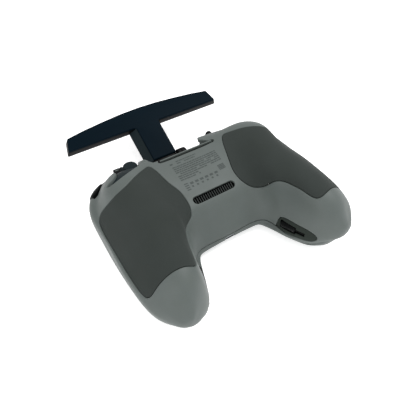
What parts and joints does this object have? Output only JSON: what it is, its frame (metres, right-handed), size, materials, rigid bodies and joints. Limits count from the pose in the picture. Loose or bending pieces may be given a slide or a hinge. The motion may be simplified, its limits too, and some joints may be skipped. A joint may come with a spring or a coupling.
{
  "type": "radio transmitter controller",
  "caption": "Two-handed gamepad-style radio controller with rubber grip skins, shoulder controls, a folding T-shaped antenna and two stick gimbals.",
  "frame": {"origin": "middle of the overall plan at the level of the surface the controller lies on", "axes": "+X across the two grips, +Y towards the antenna, +Z out of the back of the controller"},
  "size_m": [0.1876, 0.2296, 0.0599],
  "materials": {
    "shell": "fine matt moulded grey",
    "rubber": "soft dark grip skin",
    "panel": "soft dark stowage block",
    "black": "satin black",
    "navy": "satin blue-black",
    "dark": "dark grey",
    "steel": "satin",
    "board": "green solder mask",
    "lamp": "clear white lens",
    "battery": "blue sleeve"
  },
  "bodies": {
    "handset": {"rear_shell": "shell", "front_shell": "shell", "top_trim_strip": "shell", "grip_pad_left": "rubber", "grip_pad_right": "rubber", "stow_liner_left": "panel", "stow_liner_right": "panel", "vent_grille": "black", "gimbal_bezel_left": "black", "gimbal_bezel_right": "black", "gimbal_housing_left": "dark", "gimbal_housing_right": "dark", "shoulder_panel_left": "dark", "shoulder_panel_right": "dark", "lanyard_loop": "dark", "usb_port": "steel", "shell_screw_1": "steel", "shell_screw_2": "steel", "shell_screw_3": "steel", "shell_screw_4": "steel", "hinge_pin": "steel", "hinge_bracket": "black", "power_switch": "steel", "c1_switch": "steel", "heat_sink": "steel", "vibration_motor": "steel", "speaker": "black", "main_board": "board", "radio_board": "board", "battery_pack": "battery", "charge_light_1": "lamp", "charge_light_2": "lamp", "charge_light_3": "lamp", "charge_light_4": "lamp"},
    "antenna": {"antenna_rear_cover": "navy", "antenna_front_cover": "black", "antenna_cable_duct": "dark", "antenna_element_left": "board", "antenna_element_right": "board"},
    "left_yoke": {"gimbal_yoke_left": "steel"},
    "left_post": {"gimbal_post_left": "black"},
    "right_yoke": {"gimbal_yoke_right": "steel"},
    "right_post": {"gimbal_post_right": "black"},
    "left_stick": {"control_stick_left": "black"},
    "right_stick": {"control_stick_right": "black"},
    "dial": {"gimbal_dial": "dark"},
    "mode_switch": {"mode_switch_lever": "black"},
    "c2_switch": {"c2_switch_lever": "black"},
    "pause_key": {"pause_button": "black"},
    "start_stop_key": {"start_stop_button": "black"},
    "shutter_key": {"shutter_button": "black"},
    "power_key": {"power_button": "black"},
    "c1_key": {"c1_button": "dark"}
  },
  "joints": [
    {"name": "antenna_fold", "type": "hinge", "parent": "handset", "child": "antenna", "pos_m": [0, 0.05241, 0.00581], "axis": [1, 0, 0], "range_deg": [-190, 25]},
    {"name": "left_gimbal_up_down", "type": "hinge", "parent": "handset", "child": "left_yoke", "pos_m": [-0.047, -0.01502, 0.02], "axis": [1, 0, 0], "range_deg": [-25, 25], "stiffness_Nm_per_rad": 0.03},
    {"name": "left_gimbal_side_to_side", "type": "hinge", "parent": "left_yoke", "child": "left_post", "pos_m": [-0.047, -0.01502, 0.02], "axis": [0, 1, 0], "range_deg": [-25, 25], "stiffness_Nm_per_rad": 0.03},
    {"name": "right_gimbal_up_down", "type": "hinge", "parent": "handset", "child": "right_yoke", "pos_m": [0.047, -0.01502, 0.02], "axis": [1, 0, 0], "range_deg": [-25, 25], "stiffness_Nm_per_rad": 0.03},
    {"name": "right_gimbal_side_to_side", "type": "hinge", "parent": "right_yoke", "child": "right_post", "pos_m": [0.047, -0.01502, 0.02], "axis": [0, 1, 0], "range_deg": [-25, 25], "stiffness_Nm_per_rad": 0.03},
    {"name": "left_stick_lifts_out", "type": "slide", "parent": "handset", "child": "left_stick", "axis": [0.9495, -0.2615, 0.1731], "range_m": [0, 0.012]},
    {"name": "right_stick_lifts_out", "type": "slide", "parent": "handset", "child": "right_stick", "axis": [-0.9495, -0.2615, 0.1731], "range_m": [0, 0.012]},
    {"name": "dial_turn", "type": "hinge", "parent": "handset", "child": "dial", "pos_m": [-0.047, 0.02498, 0.0451], "axis": [0, 0, 1], "range_deg": [-30, 30], "stiffness_Nm_per_rad": 0.01},
    {"name": "mode_switch_slide", "type": "slide", "parent": "handset", "child": "mode_switch", "axis": [1, 0, 0], "range_m": [-0.0025, 0.0025]},
    {"name": "c2_switch_slide", "type": "slide", "parent": "handset", "child": "c2_switch", "axis": [1, 0, 0], "range_m": [-0.0025, 0.0025]},
    {"name": "pause_press", "type": "slide", "parent": "handset", "child": "pause_key", "axis": [0, -1, 0], "range_m": [0, 0.0012], "stiffness_N_per_m": 600},
    {"name": "start_stop_press", "type": "slide", "parent": "handset", "child": "start_stop_key", "axis": [0.4711, -0.8821, 0], "range_m": [0, 0.001], "stiffness_N_per_m": 600},
    {"name": "shutter_press", "type": "slide", "parent": "handset", "child": "shutter_key", "axis": [-0.4711, -0.8821, 0], "range_m": [0, 0.001], "stiffness_N_per_m": 600},
    {"name": "power_press", "type": "slide", "parent": "handset", "child": "power_key", "axis": [0, 0, 1], "range_m": [0, 0.0012], "stiffness_N_per_m": 600},
    {"name": "c1_press", "type": "slide", "parent": "handset", "child": "c1_key", "axis": [0, 0, 1], "range_m": [0, 0.001], "stiffness_N_per_m": 600}
  ]
}
